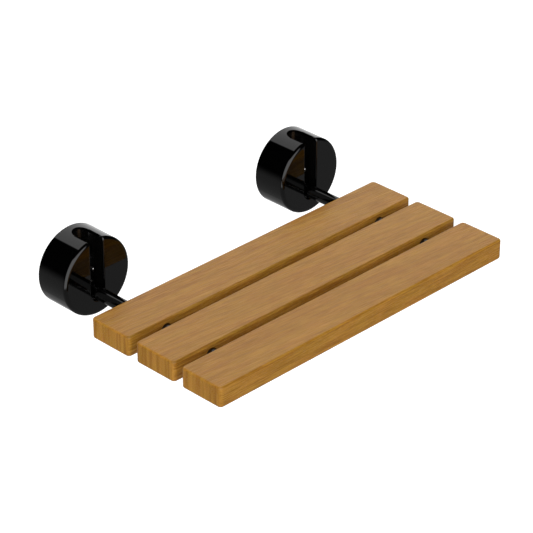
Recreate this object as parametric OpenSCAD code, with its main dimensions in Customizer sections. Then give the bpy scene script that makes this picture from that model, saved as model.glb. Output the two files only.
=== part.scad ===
// Fold down wall seat: three wooden slats on two round arms, which swing up between two drum
// shaped wall hubs. In each hub a drum cover hides a wall plate and a pivot block, and the arm
// turns on a pin in the block's slot, which runs out through the cover's face and top.
// Sizes are in millimetres. The origin is on the wall, midway between the hubs and level with
// their centres. X runs along the slats, Y goes into the wall and Z is up. The seat is down.

/* [Hubs] */
// Distance between the centres of the two hubs
hub_spacing = 406.4; // [340:0.1:440]
// Diameter of the drum cover
hub_dia = 114.3; // [106:0.1:130]
// How far a hub stands out from the wall
hub_depth = 54.4; // [50:0.1:70]
// Thickness of the drum cover's walls
cover_wall = 3; // [2.4:0.1:4]
// Rounding of the drum cover's front rim
rim_round = 5; // [4.5:0.1:8]
// Gap between the drum cover's rear edge and the wall
cover_stand = 0.4; // [0.2:0.1:0.8]

/* [Wall plates] */
// Thickness of the steel wall plate
plate_t = 5; // [4.5:0.1:8]
// Thickness of the foam gasket behind the wall plate
gasket_t = 1; // [0.8:0.1:2]
// Diameter of the two holes for screws into a wall stud
stud_hole_dia = 8.5; // [6:0.1:9]
// Height of the upper stud hole above the hub's centre
stud_hole_rise = 36; // [30:0.5:40]
// Diameter of the four holes for wall anchors
anchor_hole_dia = 6.5; // [4.5:0.1:8]
// Distance from the plate's rim in to the centres of the anchor holes
anchor_rim = 12.8; // [8:0.1:16]
// Angle of the anchor holes above and below the plate's level diameter
anchor_angle = 30; // [20:1:36]

/* [Pivot blocks] */
// Clearance between the arm and each side of the slot
arm_side_gap = 2.3; // [1:0.1:3]
// Drop of the pivot below the hub's centre
pivot_drop = 24.7; // [20:0.1:27]
// Thickness of each cheek beside the slot
cheek_t = 9.5; // [8:0.1:12]
// Thickness of the block between the slot and the wall plate
back_web = 7; // [3.5:0.1:8]
// Thickness of the block below the slot
slot_floor = 7.3; // [6:0.1:9]
// Rounding of the slot's edges in the drum cover
slot_edge = 2; // [0.8:0.1:2.2]
// Diameter of the pivot pin
pin_dia = 8; // [6:0.5:9]
// Wall of the bush in the arm's eye
bush_wall = 1.15; // [0.8:0.05:1.6]

/* [Ball plungers] */
// Diameter of the plunger's body
plunger_dia = 8; // [7.5:0.5:10]
// Diameter of the plunger's ball
ball_dia = 5; // [4:0.1:5.4]
// Distance of the plunger from the wall
plunger_out = 30; // [28:0.1:38]
// Height of the plunger above the hub's centre
plunger_rise = -2.5; // [-4:0.5:8]

/* [Arms] */
// Diameter of the arms
arm_dia = 18.5; // [16:0.5:20]
// How far the arms run below the middle of the slats' thickness
arm_offset = 0.6; // [0:0.1:2]
// Wood left between an arm's tip and the seat's front edge
tip_wood = 17.5; // [10:0.5:24]

/* [Slats] */
// How far a slat runs on past the middle of each arm
slat_overhang = 66.4; // [30:0.1:120]
// Width of a slat
slat_w = 72.3; // [60:0.1:90]
// Thickness of a slat
slat_t = 30.2; // [28:0.1:33]
// Gap between two slats
slat_gap = 12.8; // [6:0.1:20]
// Distance from the hubs' front faces to the rear slat
seat_set = 60.8; // [50:0.1:90]
// Rounding of a slat's upright corners
slat_corner = 6; // [4:0.5:12]
// Rounding of a slat's long and short edges
slat_round = 3; // [0.5:0.1:3.5]

/* [Hidden] */
$fn = 96;

// Clearances: past a cut's end, a fixed fit, a running fit, and what moves past a neighbour
overrun = 2;
fit_gap = 0.05;
pin_gap = 0.05;
run_gap = 0.3;
cover_gap = 0.2;
bore_gap = 0.1;

// Which hub a piece belongs to
left = -1;
right = 1;

// Hub
hub_r = hub_dia / 2;
cover_bore_r = hub_r - cover_wall;
plate_r = cover_bore_r - cover_gap;
plate_front = gasket_t + plate_t;
rim_bore = rim_round - cover_wall;

// Slot and pivot
arm_r = arm_dia / 2;
slot_r = arm_r + arm_side_gap;
pivot_out = plate_front + back_web + slot_r;
slot_back = pivot_out - slot_r;
slot_low = pivot_drop + slot_r;

// Pivot block
block_half = slot_r + cheek_t;
block_front = hub_depth - cover_wall - cover_gap;
block_low = slot_low + slot_floor;
block_rim = rim_bore - cover_gap;
stud_head_dia = 15;
stud_head_room = 0.4;

// Rounded edges of the slot in the cover. The centre of the rounding runs up behind the face,
// round the rim and back below the top. It stands proud by a little, so that the rounding
// crosses the faces it runs into and doesn't just touch them.
edge_lap = 0.03;
edge_x = slot_r + slot_edge - edge_lap;
edge_out = hub_depth - slot_edge + edge_lap;
edge_top = sqrt(pow(hub_r, 2) - pow(edge_x, 2)) - slot_edge + edge_lap;
edge_turn_r = rim_round - slot_edge + edge_lap;
edge_turn_out = edge_out - edge_turn_r;
edge_turn_z = edge_top - edge_turn_r;
back_edge_share = 0.6;
back_edge = slot_edge * back_edge_share;

// Screws through the wall plate into the block's cheeks
block_screw_dia = 5;
block_screw_head_dia = 9.6;
block_screw_len = 16;
block_screw_edge = 8;
block_screw_rise = 34;
block_screw_x = slot_r + cheek_t / 2;
block_screw_zs = [block_screw_edge - block_low, block_screw_rise];
block_screw_key = 3;
key_depth_share = 0.6;

// Grub screws that hold the drum cover to the rim of the wall plate
cover_screw_dia = 3;
cover_screw_len = 6.5;
cover_screw_key = 1.5;
cover_screw_angle = 34;
cover_screw_out = gasket_t + plate_t / 2;

// Pivot pin and its clips
pin_r = pin_dia / 2;
pin_chamfer = 0.6;
clip_t = 0.9;
groove_depth = 1;
groove_w = clip_t + 2 * fit_gap;
pin_end = 1.4;
groove_in = block_half + fit_gap;
pin_half = groove_in + groove_w + pin_end;
clip_ring_w = 3;
clip_r = pin_r + clip_ring_w;

// Bush in the arm's eye: its ends stay clear of the slot's round floor and back
bush_bore_r = pin_r + pin_gap;
bush_r = bush_bore_r + bush_wall;
bush_half = sqrt(pow(slot_r - run_gap, 2) - pow(bush_r, 2));

// Half round liner that the lowered arm rests on
rest_len = 12;
rest_set = 2;
rest_peg_dia = 4;
rest_peg_len = 4.5;
rest_r = slot_r - fit_gap;
rest_bore_r = arm_r + run_gap;
rest_out = block_front - rest_set;

// Ball plunger: the ball stands out into the slot, just clear of the arm
plunger_r = plunger_dia / 2;
ball_r = ball_dia / 2;
plunger_set = 0.2;
plunger_tail = 1.5;
plunger_end_t = 2.2;
plunger_key_w = 1;
plunger_key_depth = 1;
lip_t = 0.25;
lip_hold = 0.05;
ball_gap = 0.1;
ball_out = min(arm_side_gap - run_gap, ball_r / 2);
ball_x = slot_r - ball_out + ball_r;
plunger_front = slot_r + plunger_set;
plunger_back = block_half + plunger_tail;
spring_wire = 0.5;
spring_turns = 5;
spring_r = ball_r - spring_wire - ball_gap;
spring_front = ball_x + sqrt(pow(ball_r, 2) - pow(spring_r, 2)) + spring_wire / 2 + ball_gap;
spring_back = plunger_back - plunger_end_t - spring_wire / 2 - fit_gap;
spring_steps = 12;
wire_sides = 6;
echo(spring_gap = (spring_back - spring_front) / spring_turns - spring_wire);

// Seat
slat_l = hub_spacing + 2 * slat_overhang;
slat_mid = arm_offset - pivot_drop;
slat_pitch = slat_w + slat_gap;
rear_slat_out = hub_depth + seat_set + slat_w / 2;
slat_outs = [rear_slat_out, rear_slat_out + slat_pitch, rear_slat_out + 2 * slat_pitch];
front_edge = slat_outs[2] + slat_w / 2;
arm_tip = front_edge - tip_wood;
arm_bore_r = arm_r + bore_gap;
arm_tip_chamfer = 1;

// Screws from below through the slats into the arms
slat_screw_dia = 5;
slat_screw_head_dia = 10;
slat_screw_head_t = 2.2;
slat_screw_key = 3;
slat_screw_bite = 10;
tap_room = 1.5;
screw_head_wood = 2.5;
slat_screw_seat = -pivot_drop - arm_bore_r - screw_head_wood;
slat_screw_len = screw_head_wood + bore_gap + slat_screw_bite;

// Colours
coat_black = "#141414";
steel = "#9a9da0";
foam_grey = "#3a3a3a";
acetal_black = "#1c1c1e";
honey_wood = "#b0864f";

// Stands a shape drawn along Z straight out from the wall, with its Y upwards
module out_from_wall() {
    rotate([90, 0, 0]) children();
}

// Lays a shape drawn along Z along X
module along_x() {
    rotate([0, 90, 0]) children();
}

module at_hub(side) {
    translate([side * hub_spacing / 2, 0, 0]) children();
}

// Puts a shape at the hub's pivot axis
module at_pivot() {
    translate([0, -pivot_out, -pivot_drop]) children();
}

// Bore along X, from one distance to another
module x_bore(r, from, to) {
    translate([from, 0, 0]) along_x() cylinder(r = r, h = to - from);
}

// Half of the slot: a round end, carried on upwards in the drawing plane
module slot_outline(reach) {
    circle(r = slot_r);
    translate([-slot_r, 0]) square([2 * slot_r, reach]);
}

// The slot: round below when seen from the front, round behind when seen from above
module arm_slot() {
    intersection() {
        translate([0, 0, -pivot_drop]) out_from_wall()
            linear_extrude(hub_depth + overrun) slot_outline(pivot_drop + hub_r + overrun);
        translate([0, -pivot_out, -slot_low - overrun]) mirror([0, 1, 0])
            linear_extrude(slot_low + hub_r + 2 * overrun) slot_outline(hub_depth);
    }
}

// What lies inside the path of the rounding's centre, with X as depth into the wall and Y up
module inside_edge_path() {
    translate([-edge_out, -pivot_drop - overrun])
        square([edge_out, pivot_drop + overrun + edge_turn_z]);
    translate([-edge_turn_out, 0]) square([edge_turn_out, edge_top]);
    translate([-edge_turn_out, edge_turn_z]) circle(r = edge_turn_r);
}

// What the rounding takes off one side of the slot: up the face, round the rim, back over the top
module slot_side_edge() {
    difference() {
        translate([slot_r - overrun, -hub_depth - overrun, -pivot_drop])
            cube([
                slot_edge - edge_lap + overrun, hub_depth + overrun - pivot_out,
                pivot_drop + hub_r + overrun
            ]);
        translate([slot_r - 2 * overrun, 0, 0]) rotate([90, 0, 90])
            linear_extrude(slot_edge + 3 * overrun) inside_edge_path();
        translate([edge_x, -edge_out, -pivot_drop - overrun])
            cylinder(r = slot_edge, h = pivot_drop + overrun + edge_turn_z);
        translate([edge_x, -edge_turn_out, edge_turn_z]) along_x() rotate_extrude()
            translate([edge_turn_r, 0]) circle(r = slot_edge);
        translate([edge_x, 0, edge_top]) out_from_wall()
            cylinder(r = slot_edge, h = edge_turn_out);
    }
}

// What the rounding takes off round the slot's lower end in the face
module slot_low_edge() {
    translate([0, 0, -pivot_drop]) out_from_wall() rotate_extrude() difference() {
        translate([slot_r - overrun, edge_out])
            square([slot_edge - edge_lap + overrun, slot_edge + overrun]);
        translate([edge_x, edge_out]) circle(r = slot_edge);
    }
}

// Chamfer of the slot's round back end, which cuts deeper where the drum stands higher
module slot_back_edge() {
    edge_z = sqrt(pow(hub_r, 2) - pow(slot_r, 2)) - back_edge;
    cone_h = hub_r - edge_z + overrun;
    intersection() {
        translate([0, -pivot_out, edge_z]) cylinder(r1 = slot_r, r2 = slot_r + cone_h, h = cone_h);
        translate([-hub_r, -pivot_out, 0]) cube([2 * hub_r, pivot_out, 2 * hub_r]);
    }
}

// Half section of a drum with a rounded front rim, with X as radius and Y out from the wall
module drum_section(r, back, front, rim) {
    translate([0, back]) square([r, front - back - rim]);
    translate([0, back]) square([r - rim, front - back]);
    translate([r - rim, front - rim]) circle(r = rim);
}

// Screw along Z with its countersunk head up, flush with the height zero
module countersunk_screw(dia, head_dia, len, key) {
    head_t = (head_dia - dia) / 2;
    difference() {
        union() {
            translate([0, 0, -len]) cylinder(d = dia, h = len);
            translate([0, 0, -head_t]) cylinder(d1 = dia, d2 = head_dia, h = head_t);
        }
        translate([0, 0, -head_t * key_depth_share])
            cylinder(d = key, h = head_t, $fn = 6);
    }
}

// Room for that screw, with a gap all round
module countersunk_hole(dia, head_dia, len, gap) {
    head_t = (head_dia - dia) / 2;
    translate([0, 0, -len - gap]) cylinder(d = dia + 2 * gap, h = len + gap + overrun);
    translate([0, 0, -head_t])
        cylinder(d1 = dia + 2 * gap, d2 = head_dia + 2 * gap, h = head_t);
    cylinder(d = head_dia + 2 * gap, h = overrun);
}

// Places of the four screws between wall plate and block, facing out of the plate's back
module at_block_screws() {
    for (side = [left, right], z = block_screw_zs)
        translate([side * block_screw_x, -gasket_t, z]) rotate([-90, 0, 0]) children();
}

// Places of the two grub screws, pointing in from the cover's skin
module at_cover_screws() {
    for (side = [left, right])
        translate([0, -cover_screw_out, 0]) rotate([0, side * cover_screw_angle, 0])
            translate([0, 0, -hub_r]) children();
}

module cover_screw_holes() {
    at_cover_screws() translate([0, 0, -overrun])
        cylinder(d = cover_screw_dia + 2 * fit_gap, h = overrun + cover_screw_len + 2 * cover_gap);
}

module stud_holes(depth) {
    for (z = [0, stud_hole_rise])
        translate([0, overrun, z]) out_from_wall()
            cylinder(d = stud_hole_dia, h = depth + overrun);
}

// Four holes on one circle, beside the block, where a screwdriver reaches them
module anchor_holes(depth) {
    circle_r = plate_r - anchor_rim;
    for (side = [left, right], turn = [-anchor_angle, anchor_angle])
        translate([side * circle_r * cos(turn), overrun, circle_r * sin(turn)]) out_from_wall()
            cylinder(d = anchor_hole_dia, h = depth + overrun);
}

// Foam disc that seals the wall plate to the wall
module gasket() {
    color(foam_grey) difference() {
        out_from_wall() cylinder(r = plate_r, h = gasket_t);
        stud_holes(gasket_t + overrun);
        anchor_holes(gasket_t + overrun);
    }
}

// Steel disc that carries the hub on the wall
module wall_plate() {
    color(steel) difference() {
        translate([0, -gasket_t, 0]) out_from_wall() cylinder(r = plate_r, h = plate_t);
        stud_holes(plate_front + overrun);
        anchor_holes(plate_front + overrun);
        at_block_screws()
            countersunk_hole(block_screw_dia, block_screw_head_dia, block_screw_len, fit_gap);
        cover_screw_holes();
    }
}

// Steel block with the arm's slot, its pin bores and the plunger's hole
module pivot_block() {
    color(steel) difference() {
        intersection() {
            out_from_wall() rotate_extrude()
                drum_section(plate_r, plate_front, block_front, block_rim);
            translate([-block_half, -hub_depth, -block_low])
                cube([2 * block_half, hub_depth, block_low + hub_r]);
        }
        arm_slot();
        at_pivot() x_bore(pin_r + fit_gap, -block_half - overrun, block_half + overrun);
        translate([0, -plunger_out, plunger_rise])
            x_bore(plunger_r + fit_gap, slot_r - overrun, block_half + overrun);
        for (z = [0, stud_hole_rise])
            translate([0, -slot_back, z]) out_from_wall() stud_screw_room();
        at_block_screws()
            countersunk_hole(block_screw_dia, block_screw_head_dia, block_screw_len, fit_gap);
        translate([0, -rest_out + rest_len / 2, -slot_low - rest_peg_len])
            cylinder(d = rest_peg_dia + 2 * fit_gap, h = rest_peg_len + slot_r);
    }
}

// Hole, countersink and pocket for a screw into a wall stud, drilled from the slot
module stud_screw_room() {
    sink = (stud_head_dia - stud_hole_dia) / 2;
    translate([0, 0, -back_web - overrun]) cylinder(d = stud_hole_dia, h = back_web + 2 * overrun);
    translate([0, 0, -sink]) cylinder(d1 = stud_hole_dia, d2 = stud_head_dia, h = sink);
    cylinder(d = stud_head_dia + stud_head_room, h = slot_r);
}

// Pressed drum that slips over the plate and the block
module hub_cover() {
    color(coat_black) difference() {
        out_from_wall() rotate_extrude() difference() {
            drum_section(hub_r, cover_stand, hub_depth, rim_round);
            drum_section(cover_bore_r, 0, hub_depth - cover_wall, rim_bore);
        }
        arm_slot();
        slot_low_edge();
        slot_side_edge();
        mirror([1, 0, 0]) slot_side_edge();
        slot_back_edge();
        cover_screw_holes();
    }
}

// Grub screws through the cover's lower edge into the rim of the plate
module cover_screws() {
    color(coat_black) at_cover_screws() difference() {
        translate([0, 0, cover_gap]) cylinder(d = cover_screw_dia, h = cover_screw_len);
        translate([0, 0, cover_gap - overrun])
            cylinder(d = cover_screw_key, h = overrun + cover_screw_dia / 2, $fn = 6);
    }
}

module block_screws() {
    color(steel) at_block_screws()
        countersunk_screw(block_screw_dia, block_screw_head_dia, block_screw_len, block_screw_key);
}

// Pin across the cheeks, with a groove for a clip near each end
module pivot_pin() {
    color(steel) at_pivot() along_x() rotate_extrude()
        polygon([
            [0, -pin_half], [pin_r - pin_chamfer, -pin_half], [pin_r, pin_chamfer - pin_half],
            [pin_r, -groove_in - groove_w], [pin_r - groove_depth, -groove_in - groove_w],
            [pin_r - groove_depth, -groove_in], [pin_r, -groove_in],
            [pin_r, groove_in], [pin_r - groove_depth, groove_in],
            [pin_r - groove_depth, groove_in + groove_w], [pin_r, groove_in + groove_w],
            [pin_r, pin_half - pin_chamfer], [pin_r - pin_chamfer, pin_half], [0, pin_half]
        ]);
}

// Open spring clips in the pin's grooves, against the outsides of the cheeks
module pin_clips() {
    color(steel) at_pivot() for (side = [left, right])
        translate([side * (groove_in + groove_w / 2), 0, 0]) along_x()
            linear_extrude(clip_t, center = true) difference() {
                circle(r = clip_r);
                circle(r = pin_r - groove_depth + fit_gap);
                translate([0, -pin_r + groove_depth]) square([clip_r, 2 * (pin_r - groove_depth)]);
            }
}

// Half round liner in the slot's floor, held by a peg
module arm_rest() {
    color(acetal_black) {
        translate([0, 0, -pivot_drop]) out_from_wall() translate([0, 0, rest_out - rest_len])
            linear_extrude(rest_len) difference() {
                circle(r = rest_r);
                circle(r = rest_bore_r);
                translate([-slot_r, 0]) square([2 * slot_r, slot_r]);
            }
        translate([0, -rest_out + rest_len / 2, -slot_low - rest_peg_len + fit_gap])
            cylinder(d = rest_peg_dia, h = rest_peg_len + (slot_r - rest_bore_r) / 2);
    }
}

// Sleeve of the ball plunger, screwed into the cheek, with a thin lip that keeps the ball in
module plunger_body() {
    color(steel) translate([0, -plunger_out, plunger_rise]) difference() {
        x_bore(plunger_r, plunger_front, plunger_back);
        x_bore(ball_r - lip_hold, plunger_front - overrun, plunger_front + lip_t + overrun);
        x_bore(ball_r + ball_gap, plunger_front + lip_t, plunger_back - plunger_end_t);
        translate([plunger_back - plunger_key_depth, -plunger_r, -plunger_key_w / 2])
            cube([plunger_key_depth + overrun, plunger_dia, plunger_key_w]);
    }
}

module plunger_ball() {
    color(steel) translate([ball_x, -plunger_out, plunger_rise]) sphere(r = ball_r);
}

// Ring of points round the spring's wire, at one step along its turns
function wire_ring(step, len) =
    let (
        angle = 360 * step / spring_steps,
        rise = len * step / (spring_steps * spring_turns)
    )
    [for (i = [0 : wire_sides - 1])
        let (
            round_wire = 360 * i / wire_sides,
            r = spring_r + spring_wire / 2 * cos(round_wire)
        )
        [r * cos(angle), r * sin(angle), rise + spring_wire / 2 * sin(round_wire)]
    ];

// Coil spring behind the ball
module plunger_spring() {
    last = spring_steps * spring_turns;
    len = spring_back - spring_front;
    points = [for (step = [0 : last]) each wire_ring(step, len)];
    sides = [for (step = [0 : last - 1], i = [0 : wire_sides - 1])
        let (
            a = step * wire_sides + i,
            b = step * wire_sides + (i + 1) % wire_sides
        )
        each [[a, b, b + wire_sides], [a, b + wire_sides, a + wire_sides]]
    ];
    first_end = [for (i = [1 : wire_sides - 2]) [0, i + 1, i]];
    last_end = [for (i = [1 : wire_sides - 2])
        [last * wire_sides, last * wire_sides + i, last * wire_sides + i + 1]
    ];
    color(steel) translate([spring_front, -plunger_out, plunger_rise]) along_x()
        polyhedron(points, concat(sides, first_end, last_end));
}

// Plain bush that turns on the pin with the arm
module arm_bush() {
    color(acetal_black) at_pivot() difference() {
        x_bore(bush_r, -bush_half, bush_half);
        x_bore(bush_bore_r, -bush_half - overrun, bush_half + overrun);
    }
}

// Round bar from the pivot into the front slat, with a ball end round its eye
module arm() {
    arm_len = arm_tip - pivot_out;
    color(coat_black) difference() {
        at_pivot() out_from_wall() rotate_extrude() {
            intersection() {
                circle(r = arm_r);
                translate([0, -arm_r]) square([arm_r, arm_r]);
            }
            polygon([
                [0, 0], [arm_r, 0], [arm_r, arm_len - arm_tip_chamfer],
                [arm_r - arm_tip_chamfer, arm_len], [0, arm_len]
            ]);
        }
        at_pivot() x_bore(bush_r + fit_gap, -arm_r - overrun, arm_r + overrun);
        at_slat_screws_of_arm()
            cylinder(d = slat_screw_dia + 2 * fit_gap, h = slat_screw_len + tap_room);
    }
}

// Places of one arm's screws, at the seat of their heads
module at_slat_screws_of_arm() {
    for (out = slat_outs)
        translate([0, -out, slat_screw_seat]) children();
}

// Low headed screw, pointing up, with its head's seat at height zero
module slat_screw() {
    difference() {
        union() {
            translate([0, 0, -slat_screw_head_t])
                cylinder(d = slat_screw_head_dia, h = slat_screw_head_t);
            cylinder(d = slat_screw_dia, h = slat_screw_len);
        }
        translate([0, 0, -slat_screw_head_t - overrun])
            cylinder(d = slat_screw_key, h = overrun + slat_screw_head_t, $fn = 6);
    }
}

module slat_screws() {
    color(steel) for (side = [left, right])
        at_hub(side) at_slat_screws_of_arm() slat_screw();
}

// Rectangle with round corners, made of true arcs
module round_rectangle(w, h, r) {
    square([w - 2 * r, h], center = true);
    square([w, h - 2 * r], center = true);
    for (x = [-w / 2 + r, w / 2 - r], y = [-h / 2 + r, h / 2 - r])
        translate([x, y]) circle(r = r);
}

// One upright corner of a slat, turned with its edges rounded
module slat_corner_piece() {
    rotate_extrude() intersection() {
        round_rectangle(2 * slat_corner, slat_t, slat_round);
        translate([0, -slat_t / 2]) square([slat_corner, slat_t]);
    }
}

// Slat before drilling: four turned corners filled in by two rounded bars
module slat_blank() {
    inner_l = slat_l - 2 * slat_corner;
    inner_w = slat_w - 2 * slat_corner;
    for (x = [-inner_l / 2, inner_l / 2], y = [-inner_w / 2, inner_w / 2])
        translate([x, y, 0]) slat_corner_piece();
    rotate([90, 0, 90]) linear_extrude(inner_l, center = true)
        round_rectangle(slat_w, slat_t, slat_round);
    rotate([90, 0, 0]) linear_extrude(inner_w, center = true)
        round_rectangle(slat_l, slat_t, slat_round);
}

// Slat bored for the arms, and drilled and counterbored from below for the screws
module slat(out) {
    color(honey_wood) difference() {
        translate([0, -out, slat_mid]) slat_blank();
        for (side = [left, right]) at_hub(side) {
            translate([0, 0, -pivot_drop]) out_from_wall()
                cylinder(r = arm_bore_r, h = arm_tip + fit_gap);
            translate([0, -out, slat_screw_seat]) {
                cylinder(d = slat_screw_dia + 2 * fit_gap, h = screw_head_wood + arm_r);
                translate([0, 0, -slat_t])
                    cylinder(d = slat_screw_head_dia + 2 * bore_gap, h = slat_t);
            }
        }
    }
}

at_hub(left) gasket();  // left_gasket
at_hub(left) wall_plate();  // left_wall_plate
at_hub(left) pivot_block();  // left_pivot_block
at_hub(left) hub_cover();  // left_hub_cover
at_hub(left) cover_screws();  // left_cover_screws
at_hub(left) block_screws();  // left_block_screws
at_hub(left) pivot_pin();  // left_pivot_pin
at_hub(left) pin_clips();  // left_pin_clips
at_hub(left) arm_rest();  // left_arm_rest
at_hub(left) plunger_body();  // left_plunger_body
at_hub(left) plunger_spring();  // left_plunger_spring
at_hub(left) plunger_ball();  // left_plunger_ball
at_hub(left) arm_bush();  // left_arm_bush
at_hub(left) arm();  // left_arm
at_hub(right) gasket();  // right_gasket
at_hub(right) wall_plate();  // right_wall_plate
at_hub(right) pivot_block();  // right_pivot_block
at_hub(right) hub_cover();  // right_hub_cover
at_hub(right) cover_screws();  // right_cover_screws
at_hub(right) block_screws();  // right_block_screws
at_hub(right) pivot_pin();  // right_pivot_pin
at_hub(right) pin_clips();  // right_pin_clips
at_hub(right) arm_rest();  // right_arm_rest
at_hub(right) plunger_body();  // right_plunger_body
at_hub(right) plunger_spring();  // right_plunger_spring
at_hub(right) plunger_ball();  // right_plunger_ball
at_hub(right) arm_bush();  // right_arm_bush
at_hub(right) arm();  // right_arm
slat(slat_outs[0]);  // rear_slat
slat(slat_outs[1]);  // middle_slat
slat(slat_outs[2]);  // front_slat
slat_screws();
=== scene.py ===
import math

import bmesh
import bpy
from mathutils import Matrix, Vector


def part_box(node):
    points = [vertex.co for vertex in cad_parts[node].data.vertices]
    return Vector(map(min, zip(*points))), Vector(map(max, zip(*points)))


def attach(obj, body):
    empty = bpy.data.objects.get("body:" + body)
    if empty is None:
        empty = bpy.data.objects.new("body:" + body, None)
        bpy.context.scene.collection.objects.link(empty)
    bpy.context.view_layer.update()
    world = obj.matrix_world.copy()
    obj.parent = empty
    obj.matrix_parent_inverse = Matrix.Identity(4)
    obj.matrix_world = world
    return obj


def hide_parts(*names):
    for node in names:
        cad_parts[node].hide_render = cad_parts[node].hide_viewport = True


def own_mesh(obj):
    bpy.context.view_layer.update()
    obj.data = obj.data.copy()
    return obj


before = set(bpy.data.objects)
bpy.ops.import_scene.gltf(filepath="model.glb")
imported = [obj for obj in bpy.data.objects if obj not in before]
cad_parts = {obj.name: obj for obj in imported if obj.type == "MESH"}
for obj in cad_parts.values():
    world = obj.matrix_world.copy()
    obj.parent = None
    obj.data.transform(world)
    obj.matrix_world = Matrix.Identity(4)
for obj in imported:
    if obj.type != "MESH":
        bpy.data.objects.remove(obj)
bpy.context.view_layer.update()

# Camera: it stands in front of the seat's left end and looks down on it through a long lens,
# as in the photograph. It looks past the middle of the middle slat's top.
camera_azimuth = math.radians(44.942)
camera_elevation = math.radians(29.933)
camera_distance = 3.31948
aim_right = -0.04717
aim_up = 0.01455
hubs_left_of_slats = 0.001
lens_mm = 167.55

slat_low, slat_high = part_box("middle_slat")
slat_top_middle = Vector((-hubs_left_of_slats, (slat_low.y + slat_high.y) / 2, slat_high.z))
forward = Vector((
    math.sin(camera_azimuth) * math.cos(camera_elevation),
    math.cos(camera_azimuth) * math.cos(camera_elevation),
    -math.sin(camera_elevation),
))
right = Vector((math.cos(camera_azimuth), -math.sin(camera_azimuth), 0))
up = right.cross(forward)
camera = bpy.data.objects.new("camera", bpy.data.cameras.new("camera"))
camera.data.lens = lens_mm
camera.matrix_world = Matrix.Translation(
    slat_top_middle - forward * camera_distance + right * aim_right + up * aim_up
) @ Matrix((right, up, -forward)).transposed().to_4x4()
bpy.context.scene.collection.objects.link(camera)
bpy.context.scene.camera = camera
bpy.context.scene.view_settings.view_transform = "Standard"


# Studio surround: white to the camera. To the seat it is a dark room with a bright wall behind
# the seat's right half, a wide softbox in front of its left half, and a dim floor.
class Socket:
    """An output of a shader node that can stand in a sum: 1 - grain adds the Math node."""

    def __init__(self, tree, output=None):
        self.tree = tree
        self.output = output

    def node(self, kind, settings=None, sockets=None, out=0):
        """Adds a node, sets it up, fills or links its sockets by name, and gives one output."""
        made = self.tree.nodes.new(kind)
        for name, value in (settings or {}).items():
            setattr(made, name, value)
        for name, value in (sockets or {}).items():
            if isinstance(value, Socket):
                self.tree.links.new(value.output, made.inputs[name])
            else:
                made.inputs[name].default_value = value
        return Socket(self.tree, made.outputs[out] if made.outputs else None)

    def math(self, operation, *others):
        """A Math node on this value and the others."""
        return self.node(
            "ShaderNodeMath", {"operation": operation}, dict(enumerate((self, *others))))

    def __add__(self, other):
        return self.math("ADD", other)

    def __sub__(self, other):
        return self.math("SUBTRACT", other)

    def __rsub__(self, other):
        return self * -1 + other

    def __mul__(self, other):
        return self.math("MULTIPLY", other)

    __radd__ = __add__
    __rmul__ = __mul__

    def step(self, low, high):
        """Rises smoothly from 0 to 1 as this value goes from low to high."""
        return self.node(
            "ShaderNodeMapRange", {"interpolation_type": "SMOOTHSTEP"},
            {"Value": self, "From Min": low, "From Max": high},
        )

    def blend(self, share, low, high, how):
        """A Mix node for two colours, each a socket or three numbers."""
        made = self.tree.nodes.new("ShaderNodeMix")
        made.data_type = "RGBA"
        made.blend_type = how
        inputs = (("Factor", "VALUE", share), ("A", "RGBA", low), ("B", "RGBA", high))
        for name, kind, value in inputs:
            socket = next(s for s in made.inputs if s.name == name and s.type == kind)
            if isinstance(value, Socket):
                self.tree.links.new(value.output, socket)
            else:
                socket.default_value = (*value, 1) if kind == "RGBA" else value
        return Socket(self.tree, next(s for s in made.outputs if s.type == "RGBA"))

    def mix(self, low, high):
        """The colour low where this value is 0, and high where it is 1."""
        return self.blend(self, low, high, "MIX")

    def multiply(self, colour):
        """This colour darkened or lightened by another."""
        return self.blend(1, self, colour, "MULTIPLY")


white = (1, 1, 1, 1)
wall_level = 1.06
softbox_level = 1.9
floor_level = 0.225

world = bpy.data.worlds.new("studio")
bpy.context.scene.world = world
world.use_nodes = True
world.node_tree.nodes.clear()
studio = Socket(world.node_tree)
seen_by_camera = studio.node("ShaderNodeLightPath", out="Is Camera Ray")
direction = studio.node("ShaderNodeTexCoord", out="Generated")
along_slats, into_wall, height = (
    studio.node("ShaderNodeSeparateXYZ", sockets={"Vector": direction}, out=axis)
    for axis in ("X", "Y", "Z")
)


def right_of(azimuth, softness):
    """1 in the half of the room to the right of an azimuth, in degrees from +Y towards +X."""
    a = math.radians(azimuth)
    across = along_slats * math.cos(a) - into_wall * math.sin(a)
    return across.step(-softness, softness)


def above(low, high):
    """Rises from 0 to 1 between two elevations, in degrees."""
    return height.step(math.sin(math.radians(low)), math.sin(math.radians(high)))


wall_foot = 0.14 * above(-56, -50) + 0.86 * above(-48.5, -32)
bright_wall = right_of(-9.5, 0.02) * (1 - right_of(60, 0.1)) * wall_foot * (1 - above(53, 60))
front_softbox = right_of(166, 0.05) * (1 - right_of(265, 0.05)) * above(-28, -22) * (
    1 - above(46, 54))
dim_floor = (1 - above(-18, 4)) * (1 - bright_wall) * (1 - front_softbox)
room = bright_wall * wall_level + front_softbox * softbox_level + dim_floor * floor_level
surround = studio.node(
    "ShaderNodeBackground", sockets={
        "Color": white, "Strength": seen_by_camera + (1 - seen_by_camera) * room})
surround.node("ShaderNodeOutputWorld", sockets={"Surface": surround})


# Fill lamps: wide soft light from overhead, from the seat's left and from behind. It lights the
# wood evenly along its length, and the black coat doesn't mirror it.
fill_spread = math.radians(70)


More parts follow.
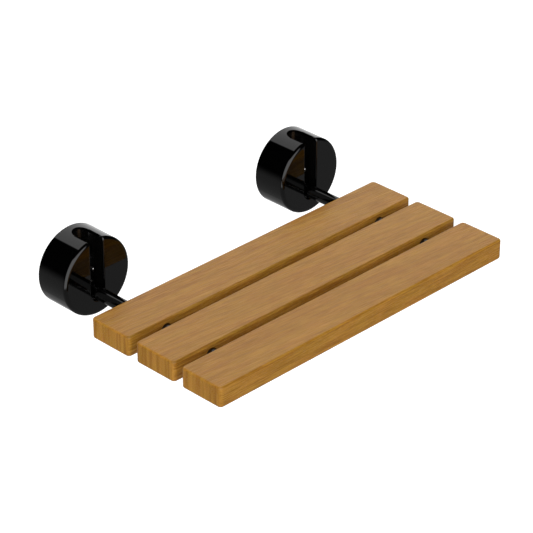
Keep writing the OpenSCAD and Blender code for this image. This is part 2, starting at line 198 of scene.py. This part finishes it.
def fill_lamp(name, azimuth, elevation, level):
    """Light from one side, at which a white surface that faces it is as bright as the level."""
    a = math.radians(azimuth)
    e = math.radians(elevation)
    toward = Vector((math.sin(a) * math.cos(e), math.cos(a) * math.cos(e), math.sin(e)))
    lamp = bpy.data.lights.new(name, "SUN")
    lamp.energy = level * math.pi
    lamp.angle = fill_spread
    place = bpy.data.objects.new(name, lamp)
    place.rotation_mode = "QUATERNION"
    place.rotation_quaternion = toward.to_track_quat("Z", "Y")
    place.visible_camera = False
    place.visible_glossy = False
    bpy.context.scene.collection.objects.link(place)


fill_lamp("top_fill", azimuth=0, elevation=90, level=0.46)
fill_lamp("left_fill", azimuth=-115, elevation=12, level=0.34)
fill_lamp("back_fill", azimuth=20, elevation=10, level=0.2)

# Floor: a plain pale one, as far below the slats' tops as a seat is mounted above it. It keeps
# the seat's shadow and looks white to the camera. Gloss looks through it to the dim floor above.
seat_height = 0.46
floor_half = 6
floor_colour = (0.55, 0.55, 0.55)
floor_lift = 0.75

bpy.ops.mesh.primitive_plane_add(size=2 * floor_half, location=(0, 0, slat_high.z - seat_height))
floor = bpy.context.object
floor.name = "floor"
floor_material = bpy.data.materials.new("pale_floor")
floor_material.use_nodes = True
floor_material.node_tree.nodes.clear()
ground = Socket(floor_material.node_tree)
camera_ray = ground.node("ShaderNodeLightPath", out="Is Camera Ray")
glossy_ray = ground.node("ShaderNodeLightPath", out="Is Glossy Ray")
seen_from_below = ground.node("ShaderNodeNewGeometry", out="Backfacing")
lit = ground.node("ShaderNodeBsdfDiffuse", sockets={"Color": (*floor_colour, 1)})
glow = ground.node("ShaderNodeEmission", sockets={
    "Color": white, "Strength": camera_ray * floor_lift})
bright = ground.node("ShaderNodeAddShader", sockets={0: lit, 1: glow})
clear = ground.node("ShaderNodeBsdfTransparent", sockets={"Color": white})
see_through = glossy_ray.math("MAXIMUM", seen_from_below)
either = ground.node("ShaderNodeMixShader", sockets={0: see_through, 1: bright, 2: clear})
either.node("ShaderNodeOutputMaterial", sockets={"Surface": either})
floor.data.materials.append(floor_material)


# Foam gaskets: a grey closed cell foam disc behind each hub, cut with a knife edged die, that
# keeps water out of the holes in the wall.
def new_material(name):
    """An empty material and a socket to start its nodes from, at the piece's own coordinates."""
    material = bpy.data.materials.new(name)
    material.use_nodes = True
    material.node_tree.nodes.clear()
    start = Socket(material.node_tree)
    return material, start.node("ShaderNodeTexCoord", out="Object")


def stretched(place, x, y, z):
    """Coordinates in which one unit is one feature: x, y and z are features in a metre."""
    return place.node("ShaderNodeMapping", sockets={"Vector": place, "Scale": (x, y, z)})


def noise(place, detail=2, roughness=0.5):
    """Values about 0.5 that change once in each unit of the coordinates."""
    return place.node("ShaderNodeTexNoise", {"noise_dimensions": "3D"}, {
        "Vector": place, "Scale": 1, "Detail": detail, "Roughness": roughness}, out="Fac")


def finish(colour, roughness, height=None, depth=0, metallic=0, specular=0.5):
    """Ends a material. The height is a relief on the surface, as deep as the depth in metres."""
    sockets = {
        "Base Color": colour, "Roughness": roughness, "Metallic": metallic,
        "Specular IOR Level": specular}
    if height is not None:
        sockets["Normal"] = height.node("ShaderNodeBump", sockets={
            "Strength": 1, "Distance": depth, "Height": height})
    surface = colour.node("ShaderNodeBsdfPrincipled", sockets=sockets)
    surface.node("ShaderNodeOutputMaterial", sockets={"Surface": surface})


def dress(material, *names):
    """Gives CAD pieces their finish. A name without a side stands for both hubs' pieces."""
    for name in names:
        for node in (name, "left_" + name, "right_" + name):
            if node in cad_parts:
                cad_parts[node].data.materials[0] = material


foam, place = new_material("grey_foam")
cells = place.node("ShaderNodeTexVoronoi", {"feature": "F1"}, {
    "Vector": stretched(place, 1600, 1600, 1600), "Scale": 1}, out="Distance")
patches = noise(stretched(place, 60, 60, 60))
foam_tone = (0.35 * cells + 0.65 * patches).mix((0.06, 0.06, 0.062), (0.12, 0.12, 0.122))
finish(foam_tone, 0.75 + 0.2 * cells, height=cells, depth=0.00008)
dress(foam, "gasket")

# Wall plates: 5 mm steel discs with screw holes, stamped out and zinc plated, so the flat faces
# keep a faint rolling grain.
zinc, place = new_material("zinc_plated_steel")
rolling = noise(stretched(place, 25, 900, 900), detail=3)
spangle = noise(stretched(place, 140, 140, 140), detail=4)
zinc_tone = (0.5 * rolling + 0.5 * spangle).mix((0.50, 0.51, 0.53), (0.66, 0.67, 0.68))
finish(zinc_tone, 0.28 + 0.2 * spangle, height=rolling, depth=0.000006, metallic=1)
dress(zinc, "wall_plate")

# Pivot blocks: machined blocks with the slot's cheeks, back and floor, under the same black
# coat as the cover. The cutter's fine feed marks show through it on the slot's walls.
block_coat, place = new_material("black_coated_block")
feed_marks = noise(stretched(place, 40, 40, 1400), detail=1)
block_smudge = noise(stretched(place, 90, 90, 90), detail=3)
block_tone = block_smudge.mix((0.001, 0.001, 0.001), (0.0025, 0.0024, 0.0023))
finish(block_tone, 0.12 + 0.14 * block_smudge, height=feed_marks, depth=0.000004)
dress(block_coat, "pivot_block")

# Stainless fasteners and pins: the block's countersunk screws, the pivot pin with its clips,
# and the low headed slat screws, turned and left satin.
stainless, place = new_material("stainless_steel")
turning = noise(stretched(place, 2600, 300, 2600), detail=1)
handling = noise(stretched(place, 220, 220, 220), detail=3)
stainless_tone = handling.mix((0.50, 0.49, 0.47), (0.68, 0.67, 0.65))
finish(stainless_tone, 0.2 + 0.16 * handling, height=turning, depth=0.000005, metallic=1)
dress(stainless, "block_screws", "pivot_pin", "pin_clips", "slat_screws")

# Plunger springs: coils of stainless wire between the ball and the end of its sleeve. Each is a
# copy of the CAD spring with its points merged, hung on the hubs and shown in place of the CAD
# one.
for side in ("left", "right"):
    cad_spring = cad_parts[side + "_plunger_spring"]
    coil = cad_spring.data.copy()
    coil.transform(cad_spring.matrix_world)
    turns = bmesh.new()
    turns.from_mesh(coil)
    bmesh.ops.remove_doubles(turns, verts=turns.verts, dist=0.000001)
    turns.to_mesh(coil)
    turns.free()
    coil.materials.clear()
    coil.materials.append(stainless)
    spring = bpy.data.objects.new(side + "_spring_coil", coil)
    bpy.context.scene.collection.objects.link(spring)
    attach(spring, "wall_hubs")
    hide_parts(side + "_plunger_spring")
    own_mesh(spring)

# Arm rests and bushes: black acetal, moulded with a fine satin grain.
acetal, place = new_material("black_acetal")
grain = noise(stretched(place, 3500, 3500, 3500), detail=2)
rubbed = noise(stretched(place, 120, 120, 120), detail=2)
acetal_tone = rubbed.mix((0.014, 0.014, 0.015), (0.026, 0.026, 0.028))
finish(acetal_tone, 0.38 + 0.16 * rubbed, height=grain, depth=0.000012)
dress(acetal, "arm_rest", "arm_bush")

# Ball plungers: a sleeve in black oxide, screwed into the slot's cheek, with a polished ball
# that its spring pushes out into the slot. The covers' grub screws have the same oxide.
oxide, place = new_material("black_oxide_steel")
oxide_patches = noise(stretched(place, 700, 700, 700), detail=4)
oxide_tone = oxide_patches.mix((0.006, 0.006, 0.007), (0.022, 0.02, 0.019))
finish(oxide_tone, 0.3 + 0.25 * oxide_patches, height=oxide_patches, depth=0.000008)
dress(oxide, "plunger_body", "cover_screws")

ball_steel, place = new_material("polished_ball")
ball_scuffs = noise(stretched(place, 1800, 1800, 1800), detail=4)
ball_tone = ball_scuffs.mix((0.72, 0.72, 0.73), (0.86, 0.86, 0.86))
finish(ball_tone, 0.04 + 0.06 * ball_scuffs.step(0.5, 0.7), metallic=1)
dress(ball_steel, "plunger_ball")

# Arms and hub covers: metal under a gloss black coat, smooth as glass but for the coat's faint
# orange peel and a little dust.
gloss_coat, place = new_material("gloss_black_coat")
orange_peel = noise(stretched(place, 320, 320, 320), detail=1)
wiped = noise(stretched(place, 30, 30, 30), detail=4)
dust = noise(stretched(place, 2400, 2400, 2400), detail=1).step(0.70, 0.78)
coat_tone = dust.mix((0.0004, 0.0004, 0.0004), (0.004, 0.004, 0.004))
finish(
    coat_tone, 0.02 + 0.03 * wiped + 0.05 * dust, height=orange_peel, depth=0.0000015)
dress(gloss_coat, "arm", "hub_cover")

# Slats: straight grained hardwood, planed, bored for the arms and oiled. The rings stand upright
# in the board and run a few degrees off its length, and the sides and sawn ends show them more
# strongly. The rounded front top edges get painted shade, darker over the gaps than at the
# front.
wood, place = new_material("honey_wood")
grain_slope = math.radians(5)
along_grain = place.node("ShaderNodeVectorRotate", {"rotation_type": "Z_AXIS"}, {
    "Vector": place, "Angle": grain_slope})
facing = place.node("ShaderNodeTexCoord", out="Normal")
to_end, to_back, to_top = (
    place.node("ShaderNodeSeparateXYZ", sockets={"Vector": facing}, out=axis) for axis in "XYZ")
on_end = to_end.math("ABSOLUTE").step(0.6, 0.95)
on_top = to_top.math("ABSOLUTE").step(0.6, 0.95)
on_side = 1 - on_end - on_top
# Painted shade: a mask of the rounded front top edges, whose colour is darkened in place of
# shading.
painted_shade_edge = to_top.step(0.1, 0.5) * (1 - to_top.step(0.96, 0.995)) * (1 - to_back.step(-0.2, 0))
seat_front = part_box("front_slat")[0].y
in_gaps = place.node("ShaderNodeSeparateXYZ", sockets={"Vector": place}, out="Y").step(
    seat_front + 0.005, seat_front + 0.01)
rings = noise(stretched(along_grain, 4, 150, 24), detail=4, roughness=0.65)
streaks = noise(stretched(along_grain, 32, 460, 460), detail=3, roughness=0.7)
side_lines = noise(stretched(along_grain, 12, 60, 600), detail=3, roughness=0.7)
end_lines = noise(stretched(along_grain, 3, 200, 11), detail=4, roughness=0.6)
mottle = noise(stretched(along_grain, 26, 70, 60), detail=2)
fibres = noise(stretched(along_grain, 40, 1300, 1300), detail=2)
pores = noise(stretched(along_grain, 150, 3200, 3200), detail=1).step(0.62, 0.72)

hue = (0.6 * mottle + 0.4 * rings).step(0.34, 0.66)
plank = hue.mix((0.360, 0.160, 0.0235), (0.342, 0.164, 0.0205))
lines = (0.55 * streaks + 0.45 * rings) * on_top + (
    0.25 * streaks + 0.75 * side_lines) * on_side + end_lines * on_end
strength = 1.15 + on_side - 0.15 * on_end
shade = ((lines - 0.5) * strength + 0.5).step(0.30, 0.70)
lined = plank.multiply(shade.mix((0.77, 0.70, 0.55), (1.23, 1.30, 1.45)))
# Painted shade: the masked edges are multiplied darker, fully over the gaps and less at the
# seat's front.
timber_with_painted_shade = lined.multiply(
    (painted_shade_edge * (0.3 + 0.7 * in_gaps)).mix((1, 1, 1), (0.74, 0.77, 0.82)))
pored = (pores * 0.35).mix(timber_with_painted_shade, (0.12, 0.045, 0.012))
finish(
    pored, 0.23 + 0.08 * fibres, height=fibres - pores * 0.8, depth=0.00002, specular=0.26)
dress(wood, "rear_slat", "middle_slat", "front_slat")
